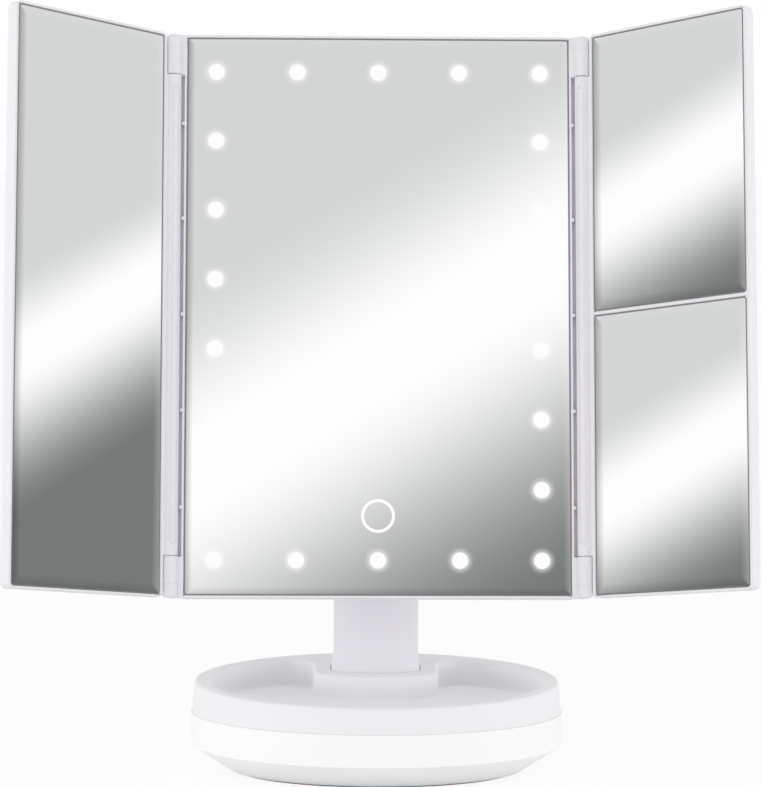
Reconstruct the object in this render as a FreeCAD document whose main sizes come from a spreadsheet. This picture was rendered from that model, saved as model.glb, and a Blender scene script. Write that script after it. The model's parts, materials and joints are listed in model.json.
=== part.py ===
"""Lighted tri-fold makeup mirror on a tray base, as a parametric assembly.

World frame: +Z up, +X to the viewer's right, -Y towards the viewer, millimetres.
The origin is the middle of the base's underside, on the table.
The head is drawn upright about the tilt axis, then leaned back by its frame.
Each wing is drawn flat open about its hinge axis, then folded forward by its frame.
"""
import FreeCAD
import Part
import Sketcher

import math
import os
import re

# How far the tray's rim, the head, the wings and their barrels' flutes are turned, in degrees
ANGLES = {
    "rim_slope_angle": 2.4,
    "tilt_rest_angle": 11.8,
    "wing_fold_angle": 44.4,
    "flute_turn_angle": 20.0,
}

# Driving sizes, in millimetres
SIZES = {
    # base
    "base_half_width": 77.2,
    "base_half_depth": 58.0,
    "seam_height": 24.8,
    "wall_foot_height": 11.6,
    "foot_inset": 16.0,
    "pad_thick": 1.0,
    "pad_inset": 3.0,
    "base_wall": 2.4,
    "seam_step": 0.7,
    "rim_draw": 2.2,
    "rim_width": 5.0,
    "rim_round": 1.3,
    "floor_above_seam": 3.6,
    "floor_thick": 2.0,
    "floor_draw": 3.0,
    "floor_round": 2.5,
    "tray_depth": 9.4,
    "skirt_drop": 3.0,
    "skirt_thick": 1.6,
    "platform_beside": 8.5,
    "platform_ahead": 9.0,
    "platform_corner": 6.0,
    "platform_blend": 11.0,
    "ballast_thick": 5.0,
    "ballast_inset": 6.0,
    "boss_wall": 1.2,
    "boss_land": 2.5,
    "base_screw_radius": 1.5,
    "base_screw_head": 2.8,
    "base_screw_head_thick": 2.0,
    "base_screw_sink": 2.2,
    "base_screw_bite": 9.0,
    # post and tilt joint
    "post_inset": 38.0,
    "post_half_width": 17.7,
    "post_depth": 14.0,
    "post_bow": 33.0,
    "post_wall": 2.2,
    "post_seat": 13.0,
    "post_floor": 8.0,
    "post_head": 14.0,
    "post_flare": 1.1,
    "post_flare_height": 10.5,
    "post_flare_sunk": 0.5,
    "post_screw_x": 10.0,
    "post_screw_bite": 6.0,
    "cover_thick": 2.5,
    "cover_screw_low": 14.0,
    "cover_screw_drop": 13.0,
    "cover_boss_radius": 3.0,
    "small_screw_radius": 1.15,
    "small_screw_head": 2.1,
    "small_screw_head_thick": 1.3,
    "small_screw_bite": 3.4,
    "axis_z": 128.0,
    "shaft_radius": 3.0,
    "shaft_head_lip": 2.0,
    "shaft_head_thick": 2.0,
    "bush_wall": 2.0,
    "bush_length": 10.0,
    "washer_thick": 0.8,
    "washer_width": 2.5,
    "lug_thick": 8.0,
    "lug_wall": 1.5,
    "tilt_cap_margin": 1.0,
    "tilt_cap_thick": 1.2,
    # main panel
    "glass_width": 160.0,
    "glass_height": 234.0,
    "glass_thick": 2.0,
    "head_gap": 3.5,
    "centre_above": 58.0,
    "lip_proud": 0.3,
    "frame_border": 1.0,
    "frame_depth": 8.0,
    "frame_wall": 2.0,
    "frame_corner": 0.8,
    "ledge_width": 4.0,
    "ledge_thick": 2.0,
    "housing_depth": 3.0,
    "housing_wall": 2.0,
    "housing_round": 2.2,
    "housing_boss_radius": 2.6,
    "housing_boss_inset": 5.5,
    "housing_boss_end": 14.0,
    # wing hinges
    "barrel_radius": 3.2,
    "knuckle_over": 0.2,
    "knuckle_length": 17.0,
    "knuckle_cap": 5.5,
    "knuckle_round": 2.4,
    "hinge_gap": 1.4,
    "pin_radius": 1.25,
    "pin_depth": 10.0,
    "pin_cover": 2.0,
    "flange_thick": 1.8,
    "rib_thick": 1.2,
    "rib_reach": 1.0,
    # wings
    "wing_root_gap": 0.6,
    "wing_border_in": 1.5,
    "wing_border_out": 1.1,
    "wing_meet_gap": 0.4,
    "wing_depth": 6.2,
    "wing_corner": 2.5,
    "wing_round": 1.6,
    "wing_wall": 1.8,
    "wing_ledge": 5.0,
    "wing_web_thick": 2.6,
    "pane_corner": 1.5,
    "tape_thick": 0.4,
    "tape_inset": 0.8,
    "divider_thick": 1.5,
    "flute_radius": 1.5,
    "flute_out": 0.4,
    "flute_end": 6.0,
    # lamps and touch control
    "lamp_inset_x": 12.3,
    "lamp_inset_z": 14.6,
    "lamp_size": 3.0,
    "lamp_thick": 1.0,
    "lamp_strip_inner": 7.0,
    "lamp_board_thick": 1.6,
    "diffuser_thick": 0.6,
    "touch_gap": 3.4,
    "electrode_radius": 8.0,
    "electrode_thick": 0.3,
    "touch_spring_radius": 3.0,
    "touch_spring_wall": 0.5,
    "board_half_width": 23.0,
    "board_half_height": 12.0,
    "board_thick": 1.6,
    "board_standoff": 1.4,
    "board_post_radius": 2.0,
    "board_post_inset": 3.0,
    # batteries, inlet and switch
    "cell_radius": 5.25,
    "cell_length": 43.5,
    "cell_nub_radius": 1.9,
    "cell_nub": 1.0,
    "cell_pitch": 11.6,
    "cell_gap": 0.4,
    "contact_thick": 0.5,
    "contact_half_width": 4.0,
    "cell_spring_length": 5.0,
    "cell_spring_radius": 3.0,
    "cell_spring_wall": 0.5,
    "box_wall": 2.0,
    "box_above": 56.0,
    "bump_margin_z": 4.0,
    "bump_round": 2.5,
    "bump_edge_round": 1.3,
    "door_thick": 1.8,
    "door_grip_half": 7.0,
    "door_grip_height": 2.0,
    "door_grip_proud": 0.8,
    "door_grip_inset": 3.0,
    "inlet_half_width": 3.9,
    "inlet_thick": 2.8,
    "inlet_depth": 5.6,
    "inlet_wall": 0.4,
    "inlet_below": 16.0,
    "power_board_thick": 1.2,
    "power_board_half": 7.0,
    "power_board_reach": 6.4,
    "power_gap": 0.6,
    "switch_above": 8.0,
    "switch_half_length": 6.0,
    "switch_body_thick": 3.6,
    "switch_body_depth": 4.4,
    "slider_half_length": 2.0,
    "slider_thick": 2.0,
    "slider_foot": 1.5,
    "slider_proud": 1.6,
    "switch_travel": 3.0,
    # clearances
    "seat_gap": 0.15,
    "slide_gap": 0.25,
    "running_gap": 0.05,
    "turning_gap": 0.4,
}

# Places worked out from the sizes, each a formula in the names above
PLACES = {
    "floor_height": "seam_height + floor_above_seam",
    "rim_height": "floor_height + tray_depth",
    "rim_top": "rim_height + tray_depth",
    "boss_radius": "base_screw_head + boss_wall",
    "ballast_edge": "foot_inset + base_wall + ballast_inset",
    "boss_inset": "ballast_edge + boss_land + boss_radius + slide_gap",
    "boss_x": "(base_half_width - boss_inset) * sqrt(1 / 2)",
    "boss_y": "(base_half_depth - boss_inset) * sqrt(1 / 2)",
    "body_low": "pad_thick",
    "body_floor": "body_low + base_wall",
    "screw_seat": "body_low + base_screw_sink + base_screw_head_thick",
    "floor_under": "floor_height - floor_thick",
    "skirt_inset": "base_wall + slide_gap",
    "skirt_inner": "skirt_inset + skirt_thick",
    "axis_y": "base_half_depth - post_inset",
    "post_front": "axis_y - post_depth / 2",
    "bow_y": "post_front + post_bow",
    "post_back": "axis_y + post_depth / 2",
    "platform_front": "post_front - platform_ahead",
    "platform_half_width": "post_half_width + platform_beside",
    "flare_low": "rim_height - post_flare_sunk",
    "socket_gap": "post_flare + slide_gap",
    "cover_top": "axis_z - post_head",
    "cover_front": "post_back - cover_thick",
    "cover_half": "post_half_width - post_wall - seat_gap",
    "bush_radius": "shaft_radius + bush_wall",
    "shaft_head_radius": "shaft_radius + shaft_head_lip",
    "washer_radius": "shaft_radius + washer_width",
    "tilt_cap_radius": "shaft_head_radius + tilt_cap_margin",
    "lug_radius": "tilt_cap_radius + lug_wall",
    "lug_inner": "post_half_width + seat_gap + washer_thick",
    "lug_outer": "lug_inner + lug_thick",
    "shaft_seat": "lug_outer - tilt_cap_thick - shaft_head_thick - seat_gap",
    "glass_front": "-(post_depth / 2 + head_gap + housing_depth + frame_depth)",
    "glass_back": "glass_front + glass_thick",
    "glass_top": "centre_above + glass_height / 2",
    "glass_low": "centre_above - glass_height / 2",
    "frame_front": "glass_front - lip_proud",
    "frame_back": "glass_front + frame_depth",
    "frame_half": "glass_width / 2 + frame_border",
    "frame_top": "glass_top + frame_border",
    "frame_low": "glass_low - frame_border",
    "ledge_back": "glass_back + ledge_thick",
    "window_half": "glass_width / 2 - ledge_width",
    "window_top": "glass_top - ledge_width",
    "window_low": "glass_low + ledge_width",
    "housing_back": "frame_back + housing_depth",
    "housing_inner": "housing_back - housing_wall",
    "housing_boss_x": "frame_half - housing_boss_inset",
    "housing_boss_reach": "glass_height / 2 - housing_boss_end",
    "knuckle_radius": "barrel_radius + knuckle_over",
    "hinge_x": "frame_half + hinge_gap + barrel_radius",
    "hinge_ahead": "2 * lip_proud + turning_gap",
    "hinge_y": "glass_front - hinge_ahead",
    "flange_front": "hinge_y + barrel_radius + turning_gap",
    "barrel_top": "frame_top - knuckle_length - turning_gap",
    "barrel_low": "frame_low + knuckle_length + turning_gap",
    "wing_root": "knuckle_radius + wing_root_gap",
    "wing_reach": "hinge_x - wing_meet_gap",
    "wing_pane_in": "wing_root + wing_border_in",
    "wing_pane_out": "wing_reach - wing_border_out",
    "wing_floor": "glass_thick + tape_thick",
    "flute_reach": "barrel_radius + flute_out",
    "divider_low": "centre_above - divider_thick / 2",
    "divider_top": "centre_above + divider_thick / 2",
    "lamp_x": "glass_width / 2 - lamp_inset_x",
    "lamp_z": "glass_height / 2 - lamp_inset_z",
    "lamp_front": "glass_back + diffuser_thick + seat_gap",
    "lamp_board_front": "lamp_front + lamp_thick",
    "lamp_board_back": "lamp_board_front + lamp_board_thick",
    "lamp_board_half": "housing_boss_x - housing_boss_radius - slide_gap",
    "touch_z": "glass_low + lamp_inset_z + lamp_strip_inner + electrode_radius + touch_gap",
    "board_back": "housing_inner - board_standoff",
    "board_front": "board_back - board_thick",
    "box_floor": "lamp_board_back + slide_gap + box_wall / 2",
    "cell_y": "box_floor + cell_gap / 2 + cell_radius",
    "door_inner": "cell_y + cell_radius + cell_gap",
    "bump_back": "door_inner + door_thick",
    "box_half_width": "1.5 * cell_pitch + cell_radius + cell_gap",
    "box_half_height": "(cell_length + cell_nub + cell_spring_length) / 2 + contact_thick",
    "door_half_width": "box_half_width + box_wall / 2",
    "door_half_height": "box_half_height + box_wall / 2",
    "bump_inner": "box_half_width + box_wall + power_gap + power_board_reach",
    "bump_half_width": "bump_inner + housing_wall",
    "bump_half_height": "box_half_height + box_wall + bump_margin_z",
    "inlet_z": "box_above - inlet_below",
    "inlet_low": "(housing_back + bump_back) / 2 - inlet_thick",
    "inlet_back": "inlet_low + inlet_thick",
    "switch_z": "box_above + switch_above",
    "slider_low": "inlet_low + (switch_body_thick - slider_thick) / 2",
    "slider_back": "slider_low + slider_thick",
}

SIDES = (("left", -1), ("right", 1))
LAMPS_ACROSS = 5
LAMPS_DOWN = 8
RIBS = 5
CELLS = 4

# Shape of the flare at the post's foot, as shares of its height and width; it ends just inside the post
FLARE_STEPS = ((0.0, 1.0), (0.45, 0.35), (1.0, -0.06))

# Half length and half width of the slots in a screw's cross recess, as shares of its head's radius
DRIVE_REACH = 0.62
DRIVE_WIDTH = 0.15

# Edges this close to a place are taken to lie on it
TOUCH = 1e-3

doc = FreeCAD.newDocument("makeup_mirror")
sheet = doc.addObject("Spreadsheet::Sheet", "Sizes")
for row, (alias, number) in enumerate({**ANGLES, **SIZES}.items(), start=1):
    sheet.set(f"A{row}", str(number))
    sheet.setAlias(f"A{row}", alias)
doc.recompute()

sub_parts = []


def formula(text):
    """The same formula with each place written out and each size named as its spreadsheet cell."""
    def written_out(match):
        word = match.group()
        if word in PLACES:
            return f"({formula(PLACES[word])})"
        return f"Sizes.{word}" if word in SIZES or word in ANGLES else word
    return re.sub(r"[a-z]\w*", written_out, str(text))


def bind(thing, name, text):
    thing.setExpression(name, formula(text))


# Solids and how they are combined

def block(x, y, z):
    """A box between three pairs of formulas."""
    box = doc.addObject("Part::Box", "block")
    for axis, edge, (low, high) in zip("xyz", ("Length", "Width", "Height"), (x, y, z)):
        bind(box, edge, f"({high}) - ({low})")
        bind(box, "Placement.Base." + axis, low)
    return box


TURNS = {
    "x": FreeCAD.Rotation(FreeCAD.Vector(0, 1, 0), 90),
    "y": FreeCAD.Rotation(FreeCAD.Vector(1, 0, 0), -90),
    "z": FreeCAD.Rotation(),
}


def rod(axis, radius, x, y, z):
    """A cylinder along one axis: that axis has a pair of formulas, the other two have one each."""
    places = dict(zip("xyz", (x, y, z)))
    low, high = places[axis]
    places[axis] = low
    cylinder = doc.addObject("Part::Cylinder", "rod")
    cylinder.Placement = FreeCAD.Placement(FreeCAD.Vector(), TURNS[axis])
    bind(cylinder, "Radius", radius)
    bind(cylinder, "Height", f"({high}) - ({low})")
    for name, text in places.items():
        bind(cylinder, "Placement.Base." + name, text)
    return cylinder


def ball(radius, x, y, z):
    sphere = doc.addObject("Part::Sphere", "ball")
    bind(sphere, "Radius", radius)
    for name, text in zip("xyz", (x, y, z)):
        bind(sphere, "Placement.Base." + name, text)
    return sphere


def tube(axis, radius, bore, x, y, z):
    return cut(rod(axis, radius, x, y, z), rod(axis, bore, x, y, z))


def oval(inset, z):
    """The base's outline at one height, drawn in from the widest oval."""
    ellipse = doc.addObject("Part::Ellipse", "oval")
    bind(ellipse, "MajorRadius", f"base_half_width - ({inset})")
    bind(ellipse, "MinorRadius", f"base_half_depth - ({inset})")
    bind(ellipse, "Placement.Base.z", z)
    return ellipse


def oval_block(low_inset, low, high_inset, high):
    """A solid between two ovals of the base."""
    loft = doc.addObject("Part::Loft", "oval_block")
    loft.Sections = [oval(low_inset, low), oval(high_inset, high)]
    loft.Solid = True
    loft.Ruled = True
    return loft


def oval_slab(inset, low, high):
    return oval_block(inset, low, inset, high)


def join(*pieces):
    fused = doc.addObject("Part::MultiFuse", "join")
    fused.Shapes = list(pieces)
    fused.Refine = True
    return fused


def cut(base, *tools):
    result = doc.addObject("Part::Cut", "cut")
    result.Base = base
    result.Tool = tools[0] if len(tools) == 1 else join(*tools)
    result.Refine = True
    return result


def common(one, other):
    result = doc.addObject("Part::Common", "common")
    result.Base = one
    result.Tool = other
    return result


def rounded(base, radius, chosen):
    """The edges that chosen picks, rounded by the size named radius."""
    doc.recompute()
    numbers = [number for number, edge in enumerate(base.Shape.Edges, start=1) if chosen(edge)]
    if not numbers:
        raise RuntimeError(f"no edge of {base.Name} to round by {radius}")
    fillet = doc.addObject("Part::Fillet", "rounded")
    fillet.Base = base
    fillet.Edges = [(number, sheet.get(radius), sheet.get(radius)) for number in numbers]
    return fillet


def spans(edge):
    box = edge.BoundBox
    return {"x": box.XLength, "y": box.YLength, "z": box.ZLength}


def along(axis):
    """Picks straight edges that run along one axis."""
    def chosen(edge):
        return all(length < TOUCH for name, length in spans(edge).items() if name != axis)
    return chosen


def at_back(shape_owner):
    """Picks the edges of a solid's rearmost plane."""
    doc.recompute()
    back = shape_owner.Shape.BoundBox.YMax

    def chosen(edge):
        return edge.BoundBox.YMin > back - TOUCH
    return chosen


def group(pieces):
    """Separate solids that share one node."""
    compound = doc.addObject("Part::Compound", "group")
    compound.Links = list(pieces)
    return compound


def mirrored(sign, low, high):
    """A pair of formulas, or its mirror image where sign is negative."""
    return (low, high) if sign > 0 else (f"-({high})", f"-({low})")


def either_side(half):
    return (f"-({half})", half)


def about(centre, half):
    return (f"({centre}) - ({half})", f"({centre}) + ({half})")


def finish(piece, label, frame=None):
    """Names a finished sub-part and puts it on its frame."""
    piece.Label = label
    if frame is not None:
        piece.setExpression("Placement", frame.Name + ".Placement")
    sub_parts.append(piece)


def screw(axis, sign, kind, x, y, z, grip, bite):
    """A cross-head screw that seats at the given place; grip and bite lie ahead of it, along the signed axis."""
    places = {"x": x, "y": y, "z": z}
    seat = places[axis]

    def between(start, end):
        low, high = mirrored(sign, start, end)
        reach = dict(places)
        reach[axis] = (f"({seat}) + {low}", f"({seat}) + {high}")
        return reach["x"], reach["y"], reach["z"]

    head = rod(axis, kind + "_head", *between(f"-{kind}_head_thick", "0"))
    shank = rod(axis, kind + "_radius", *between("0", f"{grip} + {bite}"))
    recess = dict(zip("xyz", between(f"-{kind}_head_thick", f"-{kind}_head_thick / 2")))
    across = [name for name in "xyz" if name != axis]
    slots = []
    for long_way in across:
        slot = dict(recess)
        for name in across:
            share = DRIVE_REACH if name == long_way else DRIVE_WIDTH
            slot[name] = about(places[name], f"{share} * {kind}_head")
        slots.append(block(slot["x"], slot["y"], slot["z"]))
    return cut(join(head, shank), *slots)


# Flat plates, drawn as a sketch on the upright plane and padded towards the back

def rectangle(sketch, x, z):
    """Adds a rectangle between two pairs of formulas to a sketch."""
    first = sketch.GeometryCount
    corners = [FreeCAD.Vector(*place) for place in ((0, 0, 0), (1, 0, 0), (1, 1, 0), (0, 1, 0))]
    for start, end in zip(corners, corners[1:] + corners[:1]):
        sketch.addGeometry(Part.LineSegment(start, end), False)
    for side in range(4):
        level = "Horizontal" if side % 2 == 0 else "Vertical"
        sketch.addConstraint(Sketcher.Constraint("Coincident", first + side, 2, first + (side + 1) % 4, 1))
        sketch.addConstraint(Sketcher.Constraint(level, first + side))
    distances = [
        (kind, corner, pair[end])
        for end, corner in enumerate((0, 2))
        for kind, pair in (("DistanceX", x), ("DistanceY", z))]
    for kind, corner, text in distances:
        number = sketch.addConstraint(Sketcher.Constraint(kind, -1, 1, first + corner, 1, 1.0 + corner))
        bind(sketch, f"Constraints[{number}]", text)


def plate(label, x, z, front, thick, frame=None, hole=None, corner=None):
    """A flat plate facing the viewer, with an optional window and rounded corners."""
    body = doc.addObject("PartDesign::Body", label)
    sketch = body.newObject("Sketcher::SketchObject", "outline")
    sketch.AttachmentSupport = [(next(p for p in body.Origin.OriginFeatures if p.Role == "XZ_Plane"), "")]
    sketch.MapMode = "FlatFace"
    bind(sketch, "AttachmentOffset.Base.z", f"-({front})")
    rectangle(sketch, x, z)
    if hole:
        rectangle(sketch, *hole)
    pad = body.newObject("PartDesign::Pad", "pad")
    pad.Profile = sketch
    pad.Reversed = True
    bind(pad, "Length", thick)
    if corner:
        doc.recompute()
        names = [f"Edge{n}" for n, edge in enumerate(pad.Shape.Edges, start=1) if along("y")(edge)]
        fillet = body.newObject("PartDesign::Fillet", "corners")
        fillet.Base = (pad, names)
        bind(fillet, "Radius", corner)
    finish(body, label, frame)
    return body


# Frames of the moving groups

def make_frames():
    """The leaning head, and the two folded wings carried by it."""
    head = doc.addObject("App::Placement", "head_lean")
    head.setExpression("Placement", formula(
        "placement(vector(0; axis_y; axis_z); rotation(vector(1; 0; 0); -tilt_rest_angle))"))
    wings = {}
    for side, sign in SIDES:
        wing = doc.addObject("App::Placement", side + "_fold")
        hinge = f"vector({sign} * hinge_x; hinge_y; 0)"
        fold = f"rotation(vector(0; 0; 1); {-sign} * wing_fold_angle)"
        wing.setExpression("Placement", "head_lean.Placement * " + formula(f"placement({hinge}; {fold})"))
        wings[side] = wing
    return head, wings


# Base

def base_boss_places():
    return [(f"{i} * boss_x", f"{j} * boss_y") for i in (-1, 1) for j in (-1, 1)]


def post_screw_places():
    return [(f"{i} * post_screw_x", "axis_y") for i in (-1, 1)]


def bowed(piece, by, z):
    """The part of a piece behind the post's bowed front, moved forward by a formula."""
    return common(piece, rod("z", f"post_bow + {by}", "0", "bow_y", z))


def make_tray():
    """Sloped rim, dished floor and a platform that is blended into the back rim round the post's socket."""
    outer = oval_block("seam_step", "seam_height", "rim_draw", "rim_top")
    cavity = oval_block("rim_width + floor_draw", "floor_height", "rim_width + rim_draw", "rim_top")
    platform_z = ("floor_under", "rim_top")
    platform_box = block(
        either_side("platform_half_width"), ("platform_front", "base_half_depth"), platform_z)
    bowed_box = bowed(platform_box, "platform_ahead", platform_z)
    doc.recompute()
    half_width = platform_box.Shape.BoundBox.XMax
    back = platform_box.Shape.BoundBox.YMax

    def front_corner(edge):
        return along("z")(edge) and edge.BoundBox.YMax < back - TOUCH

    platform = common(rounded(bowed_box, "platform_corner", front_corner), outer)
    dish = join(cut(outer, cavity), platform)

    def platform_root(edge):
        on_side = spans(edge)["x"] < TOUCH and abs(abs(edge.BoundBox.XMin) - half_width) < TOUCH
        return on_side and spans(edge)["z"] > TOUCH and edge.BoundBox.YMin > back / 2

    swept = rounded(dish, "platform_blend", platform_root)
    floor_height = sum(sheet.get(name) for name in ("seam_height", "floor_above_seam"))

    def floor_edge(edge):
        box = edge.BoundBox
        return abs(box.ZMin - floor_height) < TOUCH and abs(box.ZMax - floor_height) < TOUCH

    blended = rounded(swept, "floor_round", floor_edge)
    above = block(either_side("2 * base_half_width"), either_side("2 * base_half_depth"), ("0", "rim_top"))
    above.setExpression("Placement", formula(
        "placement(vector(0; 0; rim_height); rotation(vector(1; 0; 0); rim_slope_angle))"
        " * placement(vector(-2 * base_half_width; -2 * base_half_depth; 0); rotation(vector(1; 0; 0); 0))"))
    sloped = cut(blended, above)
    rise = math.tan(math.radians(sheet.get("rim_slope_angle")))
    rim_height = floor_height + sheet.get("tray_depth")

    def rim_edge(edge):
        points = edge.discretize(5)
        return all(abs(point.z - rim_height - rise * point.y) < TOUCH for point in points)

    rimmed = rounded(sloped, "rim_round", rim_edge)
    hollow = oval_slab("skirt_inner", "0", "floor_under")
    skirt = cut(oval_slab("skirt_inset", "seam_height - skirt_drop", "floor_under"), hollow)
    boss_z = ("post_seat", "floor_height - floor_thick / 2")
    pilot_z = ("post_seat", "post_seat + base_screw_bite + slide_gap")
    bosses = [rod("z", "boss_radius", x, y, boss_z) for x, y in base_boss_places()]
    pilots = [rod("z", "base_screw_radius", x, y, pilot_z) for x, y in base_boss_places()]
    socket_z = ("0", "rim_top")
    socket_box = block(
        either_side("post_half_width + socket_gap"),
        ("post_front - socket_gap", "post_back + socket_gap"),
        socket_z)
    socket = bowed(socket_box, "socket_gap", socket_z)
    finish(cut(join(cut(rimmed, hollow), skirt, *bosses), socket, *pilots), "base_tray")


def make_base():
    """Lower moulding, ballast, pad and the screws that hold tray and post down."""
    make_tray()
    outside = join(
        oval_block("foot_inset", "body_low", "0", "wall_foot_height"),
        oval_slab("0", "wall_foot_height", "seam_height"))
    inside = join(
        oval_block("foot_inset + base_wall", "body_floor", "base_wall", "wall_foot_height + base_wall / 2"),
        oval_slab("base_wall", "wall_foot_height + base_wall / 2", "seam_height"))
    tubes = [rod("z", "boss_radius", x, y, ("body_low", "post_seat")) for x, y in base_boss_places()]
    post_boss = block(either_side("post_half_width"), ("post_front", "post_back"), ("body_low", "post_seat"))
    places = base_boss_places() + post_screw_places()
    bores = [rod("z", "base_screw_radius + slide_gap", x, y, ("0", "seam_height")) for x, y in places]
    sinks = [rod("z", "base_screw_head + slide_gap", x, y, ("0", "screw_seat")) for x, y in places]
    finish(cut(join(cut(outside, inside), *tubes, post_boss), *bores, *sinks), "base_body")

    holes = [rod("z", "boss_radius + slide_gap", x, y, ("0", "seam_height")) for x, y in base_boss_places()]
    post_hole = block(
        either_side("post_half_width + slide_gap"),
        ("post_front - slide_gap", "post_back + slide_gap"),
        ("0", "seam_height"))
    slab = oval_slab("ballast_edge", "body_floor", "body_floor + ballast_thick")
    finish(cut(slab, post_hole, *holes), "ballast_plate")
    finish(oval_slab("foot_inset + pad_inset", "0", "pad_thick"), "non_slip_pad")

    grip = "(post_seat - screw_seat)"
    for label, screw_places, bite in (
            ("base_screws", base_boss_places(), "base_screw_bite"),
            ("post_screws", post_screw_places(), "post_screw_bite")):
        screws = [screw("z", 1, "base_screw", x, y, "screw_seat", grip, bite) for x, y in screw_places]
        finish(group(screws), label)


# Post and tilt joint

def cover_screw_heights():
    return ["rim_height + cover_screw_low", "cover_top - cover_screw_drop"]


def make_flare(low, low_width, high, high_width):
    """One step of the flare at the post's foot, between two heights and the widths there."""
    bottom, top = (f"flare_low + {share} * post_flare_height" for share in (low, high))
    wide, narrow = (f"{share} * post_flare" for share in (low_width, high_width))
    wedge = doc.addObject("Part::Wedge", "flare")
    wedge.Placement = FreeCAD.Placement(FreeCAD.Vector(), FreeCAD.Rotation(FreeCAD.Vector(1, 0, 0), 90))
    flare_sides = {
        "Xmin": f"-post_half_width - {wide}", "Xmax": f"post_half_width + {wide}",
        "X2min": f"-post_half_width - {narrow}", "X2max": f"post_half_width + {narrow}",
        "Ymin": bottom, "Ymax": top,
        "Zmin": f"-post_back - {wide}", "Zmax": f"{wide} - post_front",
        "Z2min": f"-post_back - {narrow}", "Z2max": f"{narrow} - post_front",
    }
    for name, text in flare_sides.items():
        bind(wedge, name, text)
    cone = doc.addObject("Part::Cone", "bowed_flare")
    bind(cone, "Radius1", f"post_bow + {wide}")
    bind(cone, "Radius2", f"post_bow + {narrow}")
    bind(cone, "Height", f"{high - low} * post_flare_height")
    bind(cone, "Placement.Base.y", "bow_y")
    bind(cone, "Placement.Base.z", bottom)
    return common(wedge, cone)


def make_post():
    """Bowed front shell with the tilt barrel on top, and the rear cover let in between its sides."""
    post_z = ("post_seat", "axis_z + post_depth")
    column_box = block(either_side("post_half_width"), ("post_front", "post_back"), ("post_seat", "axis_z"))
    column = bowed(column_box, "0", post_z)
    barrel_rod = rod("x", "post_depth / 2", either_side("post_half_width"), "axis_y", "axis_z")
    barrel = bowed(barrel_rod, "0", post_z)
    flares = [make_flare(*low, *high) for low, high in zip(FLARE_STEPS[:-1], FLARE_STEPS[1:])]
    channel_box = block(
        either_side("post_half_width - post_wall"),
        ("post_front + post_wall", "post_back + 2 * post_flare"),
        ("post_seat + post_floor", "cover_top"))
    channel = bowed(channel_box, "-post_wall", post_z)
    boss_y = ("post_front + post_wall / 2", "cover_front")
    bosses = [rod("y", "cover_boss_radius", "0", boss_y, z) for z in cover_screw_heights()]
    shaft_bore = rod("x", "bush_radius", either_side("post_half_width"), "axis_y", "axis_z")
    pilot_y = ("cover_front - small_screw_bite - slide_gap", "post_back")
    pilots = [rod("y", "small_screw_radius", "0", pilot_y, z) for z in cover_screw_heights()]
    pilot_z = ("post_seat", "post_seat + post_screw_bite + slide_gap")
    pilots += [rod("z", "base_screw_radius", x, y, pilot_z) for x, y in post_screw_places()]
    shell = join(cut(join(column, barrel, *flares), channel), *bosses)
    finish(cut(shell, shaft_bore, *pilots), "post_shell")

    panel = block(
        either_side("cover_half"),
        ("cover_front", "post_back"),
        ("post_seat + post_floor + seat_gap", "cover_top - seat_gap"))
    seat = "post_back - small_screw_head_thick"
    holes = []
    for z in cover_screw_heights():
        holes.append(rod("y", "small_screw_head + slide_gap", "0", (seat, "post_back"), z))
        holes.append(rod("y", "small_screw_radius + slide_gap", "0", ("post_front", "post_back"), z))
    finish(cut(panel, *holes), "post_cover")
    grip = "(cover_thick - small_screw_head_thick)"
    screws = [
        screw("y", -1, "small_screw", "0", seat, z, grip, "small_screw_bite")
        for z in cover_screw_heights()]
    finish(group(screws), "post_cover_screws")

    bushes = []
    for _, sign in SIDES:
        x = mirrored(sign, "post_half_width - bush_length", "post_half_width")
        bushes.append(tube("x", "bush_radius", "shaft_radius + running_gap", x, "axis_y", "axis_z"))
    finish(group(bushes), "tilt_bushes")


def make_tilt_joint(head):
    """Shaft, nut, washers and caps, all turning with the head."""
    nut_x = ("shaft_seat", "shaft_seat + shaft_head_thick")
    pin = rod("x", "shaft_radius", ("-shaft_seat", nut_x[1]), "0", "0")
    button = rod("x", "shaft_head_radius", ("-shaft_seat - shaft_head_thick", "-shaft_seat"), "0", "0")
    finish(join(pin, button), "tilt_shaft", head)
    finish(tube("x", "shaft_head_radius", "shaft_radius", nut_x, "0", "0"), "tilt_nut", head)
    washers = []
    caps = []
    for _, sign in SIDES:
        washer_x = mirrored(sign, "lug_inner - washer_thick", "lug_inner")
        washers.append(tube("x", "washer_radius", "shaft_radius + running_gap", washer_x, "0", "0"))
        cap_x = mirrored(sign, "lug_outer - tilt_cap_thick", "lug_outer")
        caps.append(rod("x", "tilt_cap_radius - seat_gap", cap_x, "0", "0"))
    finish(group(washers), "tilt_washers", head)
    finish(group(caps), "tilt_caps", head)


# Main panel

def end_span(end, near, far):
    """Heights between two distances in from the frame's top or bottom edge."""
    if end > 0:
        return (f"frame_top - ({far})", f"frame_top - ({near})")
    return (f"frame_low + ({near})", f"frame_low + ({far})")


def hinge_corners():
    return [(sign, end) for _, sign in SIDES for end in (-1, 1)]


def housing_boss_places():
    return [
        (f"{sign} * housing_boss_x", f"centre_above + {i} * housing_boss_reach")
        for _, sign in SIDES for i in (-1, 0, 1)]


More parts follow.
